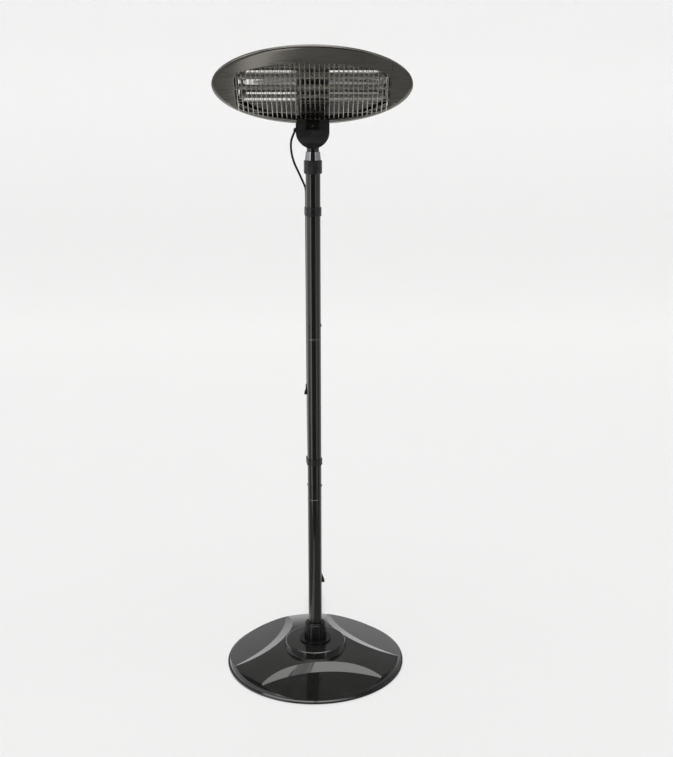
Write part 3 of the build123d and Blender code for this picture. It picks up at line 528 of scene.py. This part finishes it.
def face_level(across, inset, lean):
    """Height of the bezel's skin: bowed along its length and rounded at its rim."""
    wide = ROUND_WIDE - ROUND_LEAN * lean
    sag = wide / ROUND_STEEP * max(0.0, 1 - inset / wide) ** 2
    return BOW * (1 - (across / OVAL_A) ** 2) - sag


def edge_drop(inset):
    """How far the skin falls away close to the rim."""
    return EDGE_DROP * max(0.0, 1 - inset / EDGE_WIDE) ** 2


def make_bezel():
    """The bezel's skin, in rows from the back of the rim to the window's inside."""
    steps = 540
    rim = [(2.9, RIM_BACK), (1.0, RIM_BACK), (0.25, -5.3), (0.0, RIM_FRONT)]
    inside, lip, lip_back = 0.35, 0.6, -2.0
    insets = [0.0, 0.25, 0.8, 1.6, 2.6, 4.0, 6.0, 8.0, 10.5, 13.0, 16.0]
    shares = [0.5, 0.7, 0.85, 0.95, 0.985, 1.0]
    rows = len(rim) + len(insets) + len(shares) + 2
    vertices = []
    for index in range(steps):
        angle = 2 * math.pi * index / steps
        c, n = math.cos(angle), math.sin(angle)
        far, near = outer_reach(angle), window_reach(angle)

        def put(reach, out):
            vertices.append(on_face(c * reach, OPEN_SHIFT + n * reach, out))

        edge_low = face_level(c * far, 0.0, n) - EDGE_DROP
        for inset, out in rim:
            share = (out - RIM_BACK) / (RIM_FRONT - RIM_BACK)
            put(far - inset, out + (edge_low - RIM_FRONT) * share)
        for inset in insets:
            inset = min(inset, (far - near) * 0.45 * (1 + inset / 100))
            put(far - inset, face_level(c * (far - inset), inset, n) - edge_drop(inset))
        for share in shares:
            reach = far + (near - far) * share
            put(reach, face_level(c * reach, far - reach, n) - (0.12 if share == 1.0 else 0.0))
        put(near - inside, face_level(c * near, far - near, n) - lip)
        put(near - inside, lip_back)
    faces = []
    for index in range(steps):
        after = (index + 1) % steps
        for row in range(rows - 1):
            a, b = index * rows + row, after * rows + row
            faces.append((a, b, b + 1, a + 1))
    bezel = mesh_piece("bezel_skin", vertices, faces, "dark_chrome")
    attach(bezel, "head")
    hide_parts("bezel")


make_bezel()


def make_coils():
    """A wound wire inside each quartz tube."""
    radius, thin, pitch, half, tail = 2.2, 0.38, 2.4, 168.0, 6
    middle, tube_pitch, deep = -16.0, 33.0, -16.0
    per_turn = 12
    turns = int(2 * half / pitch)
    for tube in range(3):
        up = middle + (1 - tube) * tube_pitch
        points = [on_face(-half - tail, up, deep)]
        for index in range(turns * per_turn + 1):
            angle = 2 * math.pi * index / per_turn
            points.append(on_face(-half + pitch * index / per_turn,
                                  up + radius * math.cos(angle),
                                  deep + radius * math.sin(angle)))
        points.append(on_face(half + tail, up, deep))
        coil = tube_mesh("coil_" + str(tube + 1), points, thin / 1000, "coil", sides=6)
        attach(coil, "head")
        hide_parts("heating_coils")


make_coils()


def make_window_seam():
    """The dark joint line across the bezel's right end."""
    across, thin, rows, proud, end_gap = 195.4, 0.35, 40, 0.06, 1.2
    vertices = []
    reach = OVAL_B * math.sqrt(1 - (across / OVAL_A) ** 2) - end_gap
    for index in range(rows + 1):
        up = -reach + 2 * reach * index / rows
        angle = math.atan2(up - OPEN_SHIFT, across)
        inset = outer_reach(angle) - math.hypot(across, up - OPEN_SHIFT)
        out = face_level(across, inset, math.sin(angle)) - edge_drop(inset) + proud
        for side in (-thin, thin):
            vertices.append(on_face(across + side, up, out))
    faces = [(2 * i, 2 * i + 1, 2 * i + 3, 2 * i + 2) for i in range(rows)]
    seam = mesh_piece("bezel_seam", vertices, faces, "rubber")
    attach(seam, "head")


make_window_seam()

# ---------------------------------------------------------------- the pole


SEAM_R = 18.9


def make_seam_edge(name, height, radius):
    """The rolled end of a pole tube at a seam, in millimetres."""
    sides, around, thick = 64, 10, 0.75
    vertices = []
    for index in range(sides):
        angle = 2 * math.pi * index / sides
        for step in range(around):
            bend = 2 * math.pi * step / around
            reach = radius + thick * math.cos(bend)
            point = Vector((reach * math.cos(angle), reach * math.sin(angle),
                            height + thick * math.sin(bend)))
            vertices.append(point / 1000)
    faces = []
    for index in range(sides):
        after = (index + 1) % sides
        for step in range(around):
            up = (step + 1) % around
            faces.append((index * around + step, after * around + step,
                          after * around + up, index * around + up))
    edge = mesh_piece(name, vertices, faces, "sleeve")
    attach(edge, "stand")


make_seam_edge("lower_seam_edge", 490.6, SEAM_R)
make_seam_edge("upper_seam_edge", 942.6, SEAM_R)
